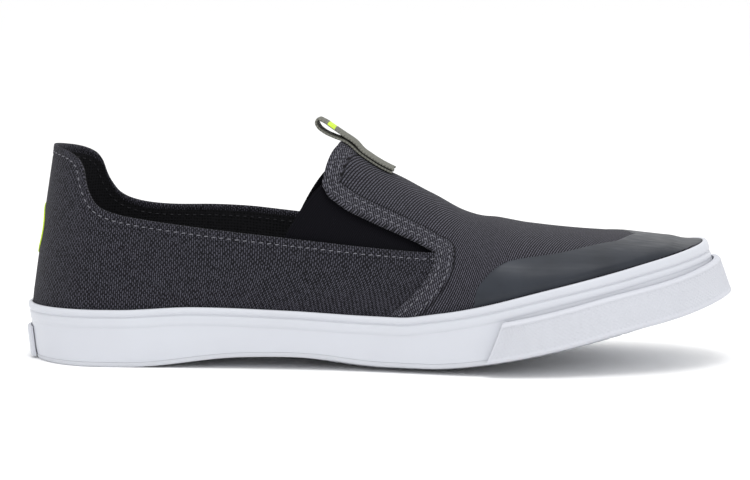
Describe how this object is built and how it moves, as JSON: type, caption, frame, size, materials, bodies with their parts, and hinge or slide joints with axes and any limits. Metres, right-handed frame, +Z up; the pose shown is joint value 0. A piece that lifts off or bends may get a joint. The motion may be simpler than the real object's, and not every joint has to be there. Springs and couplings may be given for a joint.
{
  "type": "slip-on sneaker",
  "caption": "Low slip-on canvas sneaker, right shoe, with elastic gussets, a pull loop, a smooth toe film and a white rubber sole with a side wall and toe bumper.",
  "frame": {"origin": "middle of the shoe's box, on the floor that its sole rests on", "axes": "+X towards the toe, +Y towards the inner (medial) side, +Z up"},
  "size_m": [0.3008, 0.1104, 0.1031],
  "materials": {
    "foxing": "white vulcanised rubber, satin",
    "outsole": "white rubber, matte",
    "bumper": "white rubber with a fine raised texture",
    "canvas": "charcoal ribbed canvas",
    "elastic": "black woven elastic",
    "film": "satin slate film fused to the canvas",
    "webbing": "olive-gray woven webbing",
    "insole": "black textile foot bed"
  },
  "bodies": {
    "root": {"foxing": "foxing", "heel_patch": "foxing", "outsole": "outsole", "toe_bumper": "bumper", "insole": "insole", "upper": "canvas", "gore_lateral": "elastic", "gore_medial": "elastic", "toe_film": "film", "pull_loop": "webbing"}
  },
  "joints": []
}
